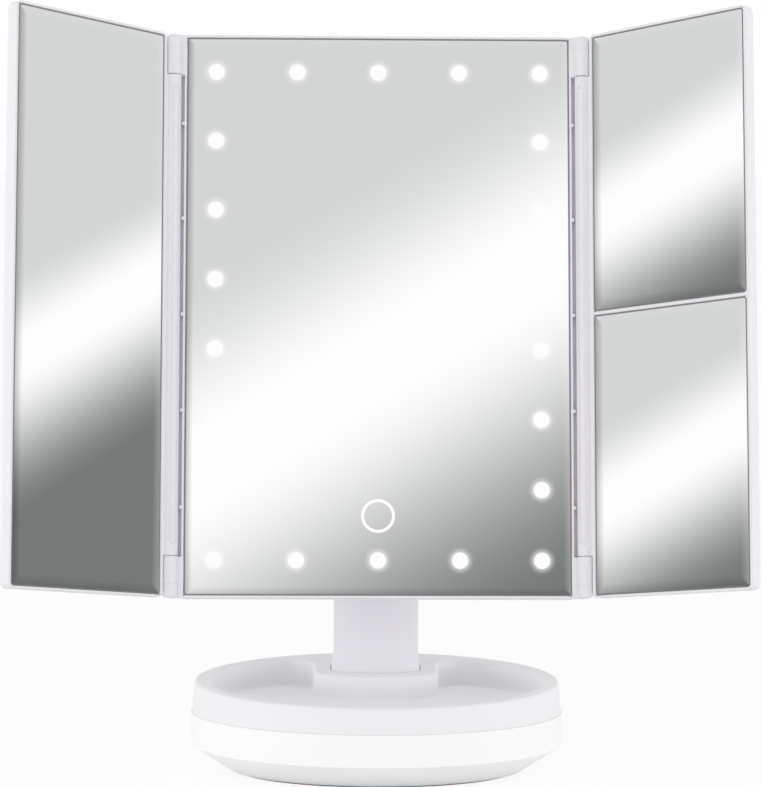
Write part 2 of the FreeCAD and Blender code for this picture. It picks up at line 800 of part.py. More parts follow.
def make_main_frame(head):
    """Thin border, ledge behind the pane, hinge knuckles and the ribbed channels by the wing barrels."""
    heights = ("frame_low", "frame_top")
    slab = block(either_side("frame_half"), ("frame_front", "frame_back"), heights)
    border = rounded(slab, "frame_corner", along("y"))
    pane_seat = block(
        either_side("glass_width / 2 + seat_gap"),
        ("frame_front", "glass_back"),
        ("glass_low - seat_gap", "glass_top + seat_gap"))
    window = block(either_side("window_half"), ("glass_back", "frame_back"), ("window_low", "window_top"))
    room = block(
        either_side("frame_half - frame_wall"),
        ("ledge_back", "frame_back"),
        ("frame_low + frame_wall", "frame_top - frame_wall"))
    added = []
    removed = []
    for sign, end in hinge_corners():
        span = end_span(end, "knuckle_cap", "knuckle_length")
        added.append(rod("z", "knuckle_radius", f"{sign} * hinge_x", "hinge_y", span))
        added.append(block(
            mirrored(sign, "frame_half - frame_wall / 2", "hinge_x"), ("frame_front", "flange_front"), span))
        removed.append(rod("z", "pin_radius", f"{sign} * hinge_x", "hinge_y", span))
    for _, sign in SIDES:
        added.append(block(
            mirrored(sign, "frame_half - frame_wall / 2", "hinge_x + barrel_radius"),
            ("flange_front", "flange_front + flange_thick"),
            ("frame_low + knuckle_cap", "frame_top - knuckle_cap")))
        for i in range(RIBS):
            z = f"centre_above + {i - (RIBS - 1) / 2} * (barrel_top - barrel_low) / {RIBS}"
            added.append(block(
                mirrored(sign, "frame_half - frame_wall / 2", "frame_half + rib_reach"),
                ("frame_front", "flange_front"),
                about(z, "rib_thick / 2")))
    for x, z in housing_boss_places():
        added.append(rod("y", "housing_boss_radius", x, ("ledge_back - ledge_thick / 2", "frame_back"), z))
        pilot_y = ("frame_back - small_screw_bite - slide_gap", "frame_back")
        removed.append(rod("y", "small_screw_radius", x, pilot_y, z))
    finish(cut(join(cut(border, pane_seat, window, room), *added), *removed), "main_frame", head)


def make_wing_hinges(head):
    """Rounded end caps on the knuckles, and the pins that run through them into the wing barrels."""
    caps = []
    pins = []
    for sign, end in hinge_corners():
        x = f"{sign} * hinge_x"
        drum = rod("z", "knuckle_radius", x, "hinge_y", end_span(end, "0", "knuckle_cap"))
        doc.recompute()
        tip = drum.Shape.BoundBox.ZMax if end > 0 else drum.Shape.BoundBox.ZMin

        def tip_edge(edge, tip=tip):
            return spans(edge)["z"] < TOUCH and abs(edge.BoundBox.ZMin - tip) < TOUCH

        dome = rounded(drum, "knuckle_round", tip_edge)
        web = block(mirrored(sign, "frame_half", "hinge_x"), ("frame_front", "flange_front"),
                    end_span(end, "0", "knuckle_cap"))
        bore = rod("z", "pin_radius", x, "hinge_y", end_span(end, "pin_cover", "knuckle_cap"))
        caps.append(cut(join(dome, web), bore))
        pin_z = end_span(end, "pin_cover", "knuckle_length + turning_gap + pin_depth")
        pins.append(rod("z", "pin_radius", x, "hinge_y", pin_z))
    finish(group(caps), "hinge_caps", head)
    finish(group(pins), "hinge_pins", head)


def lamp_places():
    """Lamp centres round the pane: full rows at top and bottom, the rest down the two sides."""
    across = [f"{2 * i / (LAMPS_ACROSS - 1) - 1} * lamp_x" for i in range(LAMPS_ACROSS)]
    down = [f"centre_above + {2 * i / (LAMPS_DOWN - 1) - 1} * lamp_z" for i in range(LAMPS_DOWN)]
    rows = [(x, z) for z in (down[0], down[-1]) for x in across]
    columns = [(x, z) for x in (across[0], across[-1]) for z in down[1:-1]]
    return rows + columns


def make_lights(head):
    """Pane, diffuser, lamp board and lamps, from the front to the back."""
    pane = (either_side("glass_width / 2"), ("glass_low", "glass_top"))
    plate("main_mirror", *pane, "glass_front", "glass_thick", head, corner="pane_corner")
    ring = (either_side("lamp_board_half"), ("window_low + slide_gap", "window_top - slide_gap"))
    inner_z = about("centre_above", "lamp_z - lamp_strip_inner")
    inner = (either_side("lamp_x - lamp_strip_inner"), inner_z)
    plate("light_diffuser", *ring, "glass_back", "diffuser_thick", head, hole=inner)
    plate("lamp_board", *ring, "lamp_board_front", "lamp_board_thick", head, hole=inner)
    lamps = [block(about(x, "lamp_size / 2"), ("lamp_front", "lamp_board_front"), about(z, "lamp_size / 2"))
             for x, z in lamp_places()]
    finish(group(lamps), "lamps", head)
    electrode = rod("y", "electrode_radius", "0", ("glass_back", "glass_back + electrode_thick"), "touch_z")
    finish(group([electrode]), "touch_electrode", head)
    spring = tube("y", "touch_spring_radius", "touch_spring_radius - touch_spring_wall",
                  "0", ("glass_back + electrode_thick", "board_front"), "touch_z")
    finish(spring, "touch_spring", head)
    board = (either_side("board_half_width"), about("touch_z", "board_half_height"))
    plate("control_board", *board, "board_front", "board_thick", head)


def control_post_places():
    x = "(board_half_width - board_post_inset)"
    z = "(board_half_height - board_post_inset)"
    return [(f"{i} * {x}", f"touch_z + {j} * {z}") for i in (-1, 1) for j in (-1, 1)]


def lamp_post_places():
    between_lamps = f"(lamp_z * {(LAMPS_DOWN - 2) / (LAMPS_DOWN - 1)})"
    return [(f"{i} * lamp_x", f"centre_above + {j} * {between_lamps}") for i in (-1, 1) for j in (-1, 1)]


def slider_slot(near, far):
    """The slot that the switch slider runs in, between two x formulas."""
    run = "slider_half_length + switch_travel / 2 + slide_gap"
    return block((near, far), ("slider_low - slide_gap", "slider_back + slide_gap"), about("switch_z", run))


def make_housing(head):
    """Rear housing: shallow tray, raised battery bump, and the two lugs of the tilt joint."""
    tray_box = block(either_side("frame_half"), ("frame_back", "housing_back"), ("frame_low", "frame_top"))
    tray = rounded(tray_box, "frame_corner", along("y"))
    shell = rounded(tray, "housing_round", at_back(tray))
    room = block(
        either_side("frame_half - frame_wall"),
        ("frame_back", "housing_inner"),
        ("frame_low + frame_wall", "frame_top - frame_wall"))
    bump_box = block(
        either_side("bump_half_width"),
        ("housing_inner", "bump_back"),
        about("box_above", "bump_half_height"))
    bump_sides = rounded(bump_box, "bump_round", along("y"))
    bump = rounded(bump_sides, "bump_edge_round", at_back(bump_sides))
    bump_room = block(
        either_side("bump_inner"),
        ("frame_back", "door_inner"),
        about("box_above", "bump_half_height - housing_wall"))
    doorway = block(
        either_side("door_half_width"),
        ("door_inner", "bump_back"),
        about("box_above", "door_half_height"))
    added = []
    removed = []
    for _, sign in SIDES:
        x = mirrored(sign, "lug_inner", "lug_outer")
        added.append(block(x, ("housing_inner", "0"), either_side("lug_radius")))
        added.append(rod("x", "lug_radius", x, "0", "0"))
        removed.append(rod("x", "shaft_radius", x, "0", "0"))
        removed.append(rod("x", "tilt_cap_radius", mirrored(sign, "shaft_seat", "lug_outer"), "0", "0"))
    seat = "housing_back - small_screw_head_thick"
    sunk = "housing_inner + housing_wall / 4"
    for x, z in housing_boss_places():
        added.append(rod("y", "housing_boss_radius", x, ("frame_back", sunk), z))
        removed.append(rod("y", "small_screw_radius + slide_gap", x, ("frame_back", "housing_back"), z))
        removed.append(rod("y", "small_screw_head + slide_gap", x, (seat, "housing_back"), z))
    for x, z in lamp_post_places():
        added.append(rod("y", "board_post_radius", x, ("lamp_board_back", sunk), z))
    for x, z in control_post_places():
        added.append(rod("y", "board_post_radius", x, ("board_back", sunk), z))
    removed.append(block(
        ("bump_inner", "bump_half_width"),
        ("inlet_low - seat_gap", "inlet_back + seat_gap"),
        about("inlet_z", "inlet_half_width + seat_gap")))
    removed.append(slider_slot("bump_inner", "bump_half_width"))
    hollow = cut(join(shell, bump), room, bump_room, doorway)
    finish(cut(join(hollow, *added), *removed), "rear_housing", head)
    grip = "(housing_depth - small_screw_head_thick)"
    screws = [
        screw("y", -1, "small_screw", x, seat, z, grip, "small_screw_bite")
        for x, z in housing_boss_places()]
    finish(group(screws), "housing_screws", head)


# Batteries, inlet and switch

def box_span(sign, low, high):
    """Heights in the battery box, counted from its middle and turned over where sign is negative."""
    low, high = mirrored(sign, low, high)
    return (f"box_above + ({low})", f"box_above + ({high})")


def make_power(head):
    """Battery box with its cells, contacts and springs, the door, and the inlet and switch beside it."""
    room = block(
        either_side("box_half_width"),
        ("box_floor", "door_inner"),
        about("box_above", "box_half_height"))
    walls = block(
        either_side("box_half_width + box_wall"),
        ("box_floor - box_wall / 2", "door_inner"),
        about("box_above", "box_half_height + box_wall"))
    finish(cut(walls, room), "battery_box", head)

    end = "box_half_height - contact_thick"
    cells = []
    contacts = []
    springs = []
    for i in range(CELLS):
        x = f"{i - (CELLS - 1) / 2} * cell_pitch"
        sign = 1 if i % 2 == 0 else -1
        can_z = box_span(sign, f"cell_spring_length - ({end})", f"{end} - cell_nub")
        can = rod("z", "cell_radius", x, "cell_y", can_z)
        nub = rod("z", "cell_nub_radius", x, "cell_y", box_span(sign, f"{end} - cell_nub", end))
        cells.append(join(can, nub))
        for turn in (-1, 1):
            contacts.append(block(about(x, "contact_half_width"), about("cell_y", "contact_half_width"),
                                  box_span(turn, end, "box_half_height")))
        springs.append(tube("z", "cell_spring_radius", "cell_spring_radius - cell_spring_wall",
                            x, "cell_y", box_span(sign, f"-({end})", f"cell_spring_length - ({end})")))
    finish(group(cells), "battery_cells", head)
    finish(group(contacts), "battery_contacts", head)
    finish(group(springs), "battery_springs", head)

    lid = block(
        either_side("door_half_width - seat_gap"),
        ("door_inner", "bump_back"),
        about("box_above", "door_half_height - seat_gap"))
    grip_z = "box_above + door_half_height - door_grip_inset"
    ridge = block(
        either_side("door_grip_half"),
        ("bump_back - door_thick / 2", "bump_back + door_grip_proud"),
        about(grip_z, "door_grip_height / 2"))
    finish(join(lid, ridge), "battery_door", head)

    board_x = ("bump_inner - power_board_reach", "bump_inner - seat_gap")
    board = block(
        board_x,
        ("inlet_low - power_board_thick", "inlet_low"),
        ("inlet_z - power_board_half", "switch_z + power_board_half"))
    finish(group([board]), "power_board", head)
    shell = block(
        ("bump_half_width - inlet_depth", "bump_half_width"),
        ("inlet_low", "inlet_back"),
        about("inlet_z", "inlet_half_width"))
    mouth = block(
        ("bump_half_width - inlet_depth + inlet_wall", "bump_half_width"),
        ("inlet_low + inlet_wall", "inlet_back - inlet_wall"),
        about("inlet_z", "inlet_half_width - inlet_wall"))
    tongue = block(
        ("bump_half_width - inlet_depth", "bump_half_width - inlet_depth / 4"),
        ("inlet_low + inlet_thick / 2 - inlet_wall / 2", "inlet_low + inlet_thick / 2 + inlet_wall / 2"),
        about("inlet_z", "inlet_half_width / 2"))
    finish(join(cut(shell, mouth), tongue), "usb_inlet", head)
    switch = block(
        ("bump_inner - switch_body_depth", "bump_inner"),
        ("inlet_low", "inlet_low + switch_body_thick"),
        about("switch_z", "switch_half_length"))
    slot = slider_slot("bump_inner - slider_foot - slide_gap", "bump_inner")
    finish(cut(switch, slot), "switch_body", head)
    slider = block(
        ("bump_inner - slider_foot", "bump_half_width + slider_proud"),
        ("slider_low", "slider_back"),
        about("switch_z - switch_travel / 2", "slider_half_length"))
    finish(group([slider]), "switch_slider", head)


# Wings

def wing_panes(side):
    """Each pane's name, how many hollow cells are behind it, and its heights, from the bottom up."""
    if side == "left":
        return (("left_mirror", 4, ("glass_low", "glass_top")),)
    return (
        ("right_lower_mirror", 2, ("glass_low", "divider_low")),
        ("right_upper_mirror", 2, ("divider_top", "glass_top")))


def inset(pair, by):
    return (f"({pair[0]}) + {by}", f"({pair[1]}) - {by}")


def wing_hollows(cells, x, z):
    """Shallow hollows behind a pane, between the ledge round its edge and the cross ribs."""
    low, high = inset(z, "wing_ledge")
    pitch = f"(({high}) - ({low}) + wing_wall) / {cells}"
    for i in range(cells):
        heights = (f"({low}) + {i} * {pitch}", f"({low}) + {i + 1} * {pitch} - wing_wall")
        yield block(inset(x, "wing_ledge"), ("wing_floor", "wing_depth - wing_wall"), heights)


def make_wing(side, sign, frame):
    """One wing, drawn flat open about its hinge axis: tray, panes on adhesive pads, and the fluted barrel."""
    x_outer = mirrored(sign, "wing_root", "wing_reach")
    x_pane = mirrored(sign, "wing_pane_in", "wing_pane_out")
    slab = block(x_outer, ("-lip_proud", "wing_depth"), ("frame_low", "frame_top"))
    corners = rounded(slab, "wing_corner", along("y"))
    tray = rounded(corners, "wing_round", at_back(corners))
    barrel_z = ("barrel_low", "barrel_top")
    barrel = rod("z", "barrel_radius", "0", "0", barrel_z)
    web_x = mirrored(sign, "0", "wing_root + wing_border_in / 2")
    web = block(web_x, ("-lip_proud", "wing_web_thick - lip_proud"), barrel_z)
    flute_x = f"{sign} * flute_reach * sin(flute_turn_angle)"
    flute_y = "-flute_reach * cos(flute_turn_angle)"
    flute_z = ("barrel_low + flute_end", "barrel_top - flute_end")
    removed = [rod("z", "flute_radius", flute_x, flute_y, flute_z)]
    removed += [ball("flute_radius", flute_x, flute_y, z) for z in flute_z]
    bore = "pin_radius + running_gap"
    removed.append(rod("z", bore, "0", "0", ("barrel_low", "barrel_low + pin_depth + slide_gap")))
    removed.append(rod("z", bore, "0", "0", ("barrel_top - pin_depth - slide_gap", "barrel_top")))
    tapes = []
    tape_y = ("glass_thick", "wing_floor")
    for name, cells, z_pane in wing_panes(side):
        seat = (inset(x_pane, "-seat_gap"), ("-lip_proud", "wing_floor"), inset(z_pane, "-seat_gap"))
        removed.append(block(*seat))
        removed += wing_hollows(cells, x_pane, z_pane)
        plate(name, x_pane, z_pane, "0", "glass_thick", frame, corner="pane_corner")
        tape = block(inset(x_pane, "tape_inset"), tape_y, inset(z_pane, "tape_inset"))
        tapes.append(cut(tape, block(inset(x_pane, "wing_ledge"), tape_y, inset(z_pane, "wing_ledge"))))
    finish(cut(join(tray, barrel, web), *removed), side + "_wing_frame", frame)
    finish(group(tapes), side + "_mirror_pads", frame)


def write_parts():
    """Checks every object, then writes one file for each sub-part."""
    doc.recompute()
    for thing in doc.Objects:
        if "Invalid" in thing.State or "Error" in thing.State:
            raise RuntimeError(f"{thing.Name} ({thing.Label}) did not build: {thing.State}")
    for piece in sub_parts:
        if piece.Shape.isNull() or not piece.Shape.isValid() or not piece.Shape.Solids:
            raise RuntimeError(f"{piece.Label} has no sound solid")
    os.makedirs("parts", exist_ok=True)
    for piece in sub_parts:
        piece.Shape.exportStep(f"parts/{piece.Label}.step")
        print(f"{piece.Label}: {len(piece.Shape.Solids)} solids, {piece.Shape.Volume / 1000:.2f} cm3")


def main():
    head, wings = make_frames()
    make_base()
    make_post()
    make_tilt_joint(head)
    make_main_frame(head)
    make_wing_hinges(head)
    make_lights(head)
    make_housing(head)
    make_power(head)
    for side, sign in SIDES:
        make_wing(side, sign, wings[side])
    write_parts()


main()
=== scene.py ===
"""Looks of the lighted makeup mirror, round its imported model.

Surfaces, lit windows, pane edges, light and camera. Metres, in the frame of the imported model: +Z up,
+X to the viewer's right, -Y towards the viewer.
"""
import json
import math

import bmesh
import bpy
from mathutils import Matrix, Vector


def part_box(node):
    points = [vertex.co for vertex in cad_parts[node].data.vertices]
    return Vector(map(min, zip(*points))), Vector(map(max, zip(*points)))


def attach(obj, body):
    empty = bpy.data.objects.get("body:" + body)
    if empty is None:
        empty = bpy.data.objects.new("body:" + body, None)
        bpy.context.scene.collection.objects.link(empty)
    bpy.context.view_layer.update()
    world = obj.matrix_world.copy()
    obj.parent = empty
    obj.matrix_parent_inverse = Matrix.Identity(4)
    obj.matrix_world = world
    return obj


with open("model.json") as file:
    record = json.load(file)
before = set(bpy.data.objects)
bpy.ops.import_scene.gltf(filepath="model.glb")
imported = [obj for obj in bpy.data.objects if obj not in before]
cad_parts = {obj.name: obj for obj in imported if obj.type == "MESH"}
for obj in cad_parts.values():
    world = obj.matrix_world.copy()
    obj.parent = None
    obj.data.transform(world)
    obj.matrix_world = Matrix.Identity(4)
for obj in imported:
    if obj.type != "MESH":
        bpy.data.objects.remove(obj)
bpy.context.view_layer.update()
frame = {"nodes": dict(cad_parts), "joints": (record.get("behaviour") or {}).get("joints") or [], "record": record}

MM = 0.001

# Camera, as the photograph was taken
IMAGE_HEIGHT = 787
FOCAL_PIXELS = 3336.9
SENSOR = 36.0
CAMERA_PLACE = Vector((-32.64, -1373.83, 270.11)) * MM
CAMERA_PAN = math.radians(1.407)
CAMERA_PITCH = math.radians(-4.701)
CAMERA_ROLL = math.radians(0.323)

# Light: each lamp has a place, a width and height, and a power
AMBIENT = 0.70
LIGHTS = {
    "key": (Vector((-0.4, -1.6, 1.9)), 1.6, 1.6, 6.0),
    "front": (Vector((0.0, -1.6, 0.12)), 1.8, 0.2, 3.2),
    "left": (Vector((-1.9, -0.3, 0.28)), 1.9, 0.5, 8.5),
    "right": (Vector((1.9, -0.3, 0.28)), 1.9, 0.5, 8.5),
}
LIGHTS_AIM = Vector((0.0, 0.0, 0.10))
FLOOR_SIZE = 30.0
FLOOR_WHITE = 0.96
FLOOR_GLOW = 0.9

# Shade of the room in the panes, as it shows on a screen: pale above, then a white band, then dark, and
# pale again further down
PALE_SHADE = (0.864, 0.869, 0.867)
WHITE_SHADE = (1.043, 1.039, 1.042)
DARK_SHADE = (0.479, 0.4935, 0.491)
SHADE_GAMMA = 2.2
BAND_START = 0.32
BAND_END = 0.41
SHADE_RETURN = (1.5, 2.5)

# How far sideways a ray from a wing's pane points, and how far back a ray that meets the white backdrop
WING_SIDE = 0.6
BACKDROP_RANGE = (0.3, 0.5)

# Where the shading starts and ends on each pane, in pane heights from its top left corner, and how far
# it has climbed at the right edge
PANE_SHADES = {
    "main_mirror": (0.44, 1.42, 0.42),
    "left_mirror": (0.46, 0.90, 0.19),
    "right_upper_mirror": (0.38, 1.22, 0.25),
    "right_lower_mirror": (0.39, 1.24, 0.28),
}

# Silvering of the panes, from its dimmest patches to its brightest
SILVER = ((0.89, 0.905, 0.895), (0.90, 0.915, 0.905))

# Streaks in the rolled metals: how fine they are along and across the streak
STREAK_ALONG = 60.0
STREAK_ACROSS = 2600.0

# Painted shade in the crevices of the mouldings: how near the walls are, how closed they look, and what is left of
# the colour
CREVICE_REACH = 4.0 * MM
CREVICE_RANGE = (0.05, 0.4)
CREVICE_PAINTED_SHADE = (0.78, 0.71, 0.81)

# Pane edges, lamp windows and touch ring
EDGE_LINE = 0.7 * MM
EDGE_WIDTHS = {"head": 3.4 * MM, "left_wing": 4.6 * MM, "right_wing": 4.6 * MM}
EDGE_CORNER = 1.5 * MM
EDGE_STEPS = 6
LINE_STEPS = 2
LINE_SHARE = 0.2
# Painted shade on the left and lower sides of each pane's bevel and painted highlight on its right and upper
# sides, as strengths across and up
EDGE_PAINTED_SHADE = (0.43, 0.26)
EDGE_PAINTED_HIGHLIGHT = (0.17, 0.11)
LINE_GREY = (128, 130, 130)
BEVEL_PAINTED_SHADE = (20, 21, 21)
BEVEL_PAINTED_HIGHLIGHT = (252, 252, 252)
CORNER_STEPS = 6
FILM_LIFT = 0.06 * MM
LAMP_CORE = 3.5 * MM
LAMP_HALO = 6.0 * MM
LAMP_RINGS = 8
HALO_STRENGTH = 0.62
HALO_FALL = 1.6
ROUND_STEPS = 48
TOUCH_RADIUS = 7.0 * MM
TOUCH_STROKE = 1.25 * MM
TOUCH_CROWN = 0.08 * MM


# Node trees

# The Mix node's sockets for numbers and for colours, and the range that a noise mostly keeps to
MIX_VALUES = (2, 3)
MIX_COLOURS = (6, 7)
MIX_COLOUR_RESULT = 2
NOISE_RANGE = (0.3, 0.7)


def node(tree, kind, inputs, **options):
    """Adds a shader node; each input is a plain value or another node's output."""
    made = tree.nodes.new("ShaderNode" + kind)
    for name, value in options.items():
        setattr(made, name, value)
    for name, value in inputs.items():
        if isinstance(value, bpy.types.NodeSocket):
            tree.links.new(value, made.inputs[name])
        else:
            made.inputs[name].default_value = value
    return made


def math_node(tree, operation, *values):
    return node(tree, "Math", dict(enumerate(values)), operation=operation).outputs[0]


def dot(tree, one, other):
    return node(tree, "VectorMath", {0: one, 1: other}, operation="DOT_PRODUCT").outputs["Value"]


def span(tree, value, low, high, start=0.0, end=1.0, kind="LINEAR"):
    """Carries a value from one range to another."""
    inputs = {"Value": value, "From Min": low, "From Max": high, "To Min": start, "To Max": end}
    return node(tree, "MapRange", inputs, interpolation_type=kind).outputs["Result"]


def smooth(tree, value, low, high, start=0.0, end=1.0):
    return span(tree, value, low, high, start, end, kind="SMOOTHSTEP")


def varied(tree, grain, low, high):
    """A noise, carried to a range of values."""
    return span(tree, grain, *NOISE_RANGE, low, high)


def mix_value(tree, factor, one, other):
    inputs = {0: factor, MIX_VALUES[0]: one, MIX_VALUES[1]: other}
    return node(tree, "Mix", inputs, data_type="FLOAT").outputs[0]


def mix_colour(tree, factor, one, other):
    """Blends two colours, each a value or an output."""
    inputs = {0: factor}
    for socket, colour in zip(MIX_COLOURS, (one, other)):
        linked = isinstance(colour, bpy.types.NodeSocket)
        inputs[socket] = colour if linked else (*colour, 1.0)
    return node(tree, "Mix", inputs, data_type="RGBA").outputs[MIX_COLOUR_RESULT]


def linear(red, green, blue):
    """A colour given as it shows on a screen, 0 to 255, as the light that gives it."""
    def channel(value):
        value /= 255
        return value / 12.92 if value <= 0.04045 else ((value + 0.055) / 1.055) ** 2.4
    return (channel(red), channel(green), channel(blue))


def tint(colour, factor):
    return tuple(min(1.0, channel * factor) for channel in colour)


def new_material(name):
    made = bpy.data.materials.new(name)
    made.use_nodes = True
    tree = made.node_tree
    return made, tree, tree.nodes["Principled BSDF"]


def connect(tree, shader, **inputs):
    """Sets inputs of the surface shader, named with underscores."""
    for name, value in inputs.items():
        socket = shader.inputs[name.replace("_", " ")]
        if isinstance(value, bpy.types.NodeSocket):
            tree.links.new(value, socket)
        elif socket.type == "RGBA":
            socket.default_value = (*value, 1.0)
        else:
            socket.default_value = value


def object_place(tree):
    return node(tree, "TexCoord", {}).outputs["Object"]


def noise(tree, place, scale, detail=2.0):
    return node(tree, "TexNoise", {"Vector": place, "Scale": scale, "Detail": detail}).outputs["Fac"]


def bumped(tree, height, depth, normal=None):
    inputs = {"Height": height, "Distance": depth, "Strength": 1.0}
    if normal is not None:
        inputs["Normal"] = normal
    return node(tree, "Bump", inputs).outputs["Normal"]


def soft_edges(tree, radius):
    return node(tree, "Bevel", {"Radius": radius}, samples=4).outputs["Normal"]


# Surfaces

def moulded_plastic(name, colour, roughness, grain, edge=0.35 * MM):
    """Moulded plastic: fine spark texture, faint flow marks, softened edges and painted shade darkening its
    crevices.
    """
    made, tree, shader = new_material(name)
    place = object_place(tree)
    flow = noise(tree, place, 38.0, 3.0)
    spark = noise(tree, place, 2400.0, 4.0)
    clean = mix_colour(tree, flow, tint(colour, 0.985), colour)
    # Painted shade: the colour darkens towards a dim tint where ambient occlusion finds walls near
    open_share = node(tree, "AmbientOcclusion", {"Distance": CREVICE_REACH}, samples=8).outputs["AO"]
    painted_crevice_shade = tuple(channel * shade for channel, shade in zip(colour, CREVICE_PAINTED_SHADE))
    shade = mix_colour(tree, smooth(tree, open_share, *CREVICE_RANGE), painted_crevice_shade, clean)
    gloss = varied(tree, flow, roughness - 0.05, roughness + 0.05)
    normal = bumped(tree, spark, grain, soft_edges(tree, edge))
    connect(tree, shader, Base_Color=shade, Roughness=gloss, Normal=normal, IOR=1.49)
    return made


def mirror(name):
    """Silvered glass: a clean metal mirror with a very faint ripple in its polish."""
    made, tree, shader = new_material(name)
    place = object_place(tree)
    polish = varied(tree, noise(tree, place, 60.0), 0.006, 0.02)
    silver = mix_colour(tree, noise(tree, place, 9.0), *SILVER)
    connect(tree, shader, Base_Color=silver, Roughness=polish, Metallic=1.0)
    return made


def brushed_metal(name, colour, roughness, direction):
    """Rolled metal with fine streaks along one direction."""
    made, tree, shader = new_material(name)
    stretch = tuple(STREAK_ALONG if along else STREAK_ACROSS for along in direction)
    place = object_place(tree)
    stretched = node(tree, "Mapping", {"Vector": place, "Scale": stretch}).outputs["Vector"]
    streak = noise(tree, stretched, 1.0, 5.0)
    shade = mix_colour(tree, streak, tint(colour, 0.88), tint(colour, 1.1))
    gloss = varied(tree, streak, roughness - 0.08, roughness + 0.08)
    normal = bumped(tree, streak, 0.01 * MM, soft_edges(tree, 0.15 * MM))
    connect(tree, shader, Base_Color=shade, Roughness=gloss, Normal=normal, Metallic=1.0)
    return made


def soft_material(name, colour, scale, depth):
    """Rubber, fibre or foam: matt, with small cells in its surface."""
    made, tree, shader = new_material(name)
    place = object_place(tree)
    cells = node(tree, "TexVoronoi", {"Vector": place, "Scale": scale}).outputs["Distance"]
    shade = mix_colour(tree, cells, tint(colour, 0.8), tint(colour, 1.15))
    gloss = varied(tree, noise(tree, place, 300.0), 0.75, 0.9)
    connect(tree, shader, Base_Color=shade, Roughness=gloss, Normal=bumped(tree, cells, depth))
    return made


def circuit_board(name, colour):
    """Green board with paler tracks under its lacquer."""
    made, tree, shader = new_material(name)
    place = object_place(tree)
    bricks = node(tree, "TexBrick", {"Vector": place, "Scale": 130.0, "Mortar Size": 0.035})
    tracks = bricks.outputs["Fac"]
    shade = mix_colour(tree, tracks, colour, tint(colour, 1.9))
    gloss = varied(tree, noise(tree, place, 500.0), 0.25, 0.4)
    connect(tree, shader, Base_Color=shade, Roughness=gloss, Normal=bumped(tree, tracks, 0.03 * MM))
    return made


def lamp_body(name, colour):
    """Lamp chips: pale resin, warmer in patches where the phosphor lies, and lit."""
    made, tree, shader = new_material(name)
    patch = noise(tree, object_place(tree), 900.0)
    shade = mix_colour(tree, patch, colour, tint(colour, 0.8))
    connect(tree, shader, Base_Color=shade, Roughness=0.3, Emission_Color=(1.0, 0.97, 0.9),
            Emission_Strength=varied(tree, patch, 0.6, 0.9))
    return made


def cell_jacket(name, colour):
    """Shrink-wrapped cells: a dark jacket with a bright band near one end and fine wrinkles."""
    made, tree, shader = new_material(name)
    place = object_place(tree)
    wave = node(tree, "TexWave", {"Vector": place, "Scale": 7.0, "Distortion": 0.4}, bands_direction="Z")
    bright = span(tree, wave.outputs["Fac"], 0.8, 0.85)
    shade = mix_colour(tree, bright, colour, (0.55, 0.56, 0.58))
    wrinkles = noise(tree, place, 400.0)
    gloss = varied(tree, wrinkles, 0.3, 0.4)
    normal = bumped(tree, wrinkles, 0.01 * MM)
    connect(tree, shader, Base_Color=shade, Roughness=gloss, Normal=normal, Metallic=0.4)
    return made


SURFACES = {
    "frame_plastic": moulded_plastic("frame_plastic", linear(235, 233, 238), 0.42, 0.012 * MM),
    "post_plastic": moulded_plastic("post_plastic", linear(238, 236, 241), 0.45, 0.012 * MM),
    "tray_plastic": moulded_plastic("tray_plastic", linear(240, 239, 242), 0.45, 0.012 * MM),
    "base_plastic": moulded_plastic("base_plastic", linear(250, 250, 251), 0.36, 0.006 * MM),
    "mirror_glass": mirror("mirror_glass"),
    "diffuser_film": moulded_plastic("diffuser_film", linear(246, 246, 243), 0.6, 0.02 * MM),
    "steel": brushed_metal("steel", linear(196, 197, 199), 0.32, (True, False, False)),
    "spring_steel": brushed_metal("spring_steel", linear(205, 206, 208), 0.25, (False, False, True)),
    "bush_plastic": moulded_plastic("bush_plastic", linear(58, 58, 60), 0.5, 0.02 * MM),
    "washer_fibre": soft_material("washer_fibre", linear(92, 84, 78), 2600.0, 0.03 * MM),
    "pad_rubber": soft_material("pad_rubber", linear(74, 74, 77), 900.0, 0.08 * MM),
    "foam_tape": soft_material("foam_tape", linear(232, 232, 230), 1800.0, 0.05 * MM),
    "circuit_board": circuit_board("circuit_board", linear(28, 92, 58)),
    "lamp": lamp_body("lamp", linear(250, 240, 205)),
    "copper": brushed_metal("copper", linear(222, 160, 120), 0.3, (False, True, False)),
    "cell_jacket": cell_jacket("cell_jacket", linear(62, 66, 72)),
    "inlet_shell": brushed_metal("inlet_shell", linear(208, 208, 210), 0.28, (True, False, False)),
    "switch_plastic": moulded_plastic("switch_plastic", linear(46, 46, 49), 0.5, 0.02 * MM),
}


def dress_nodes():
    """Gives every CAD node the surface of its material slot."""
    for part in frame["record"]["subparts"]:
        mesh = frame["nodes"][part["node"]].data
        mesh.materials.clear()
        mesh.materials.append(SURFACES[part["material_slot"]])


# Panes

JOINTS = {joint["name"]: joint for joint in frame["joints"]}
UP = Vector(JOINTS["left_wing_fold"]["axis"]).normalized()


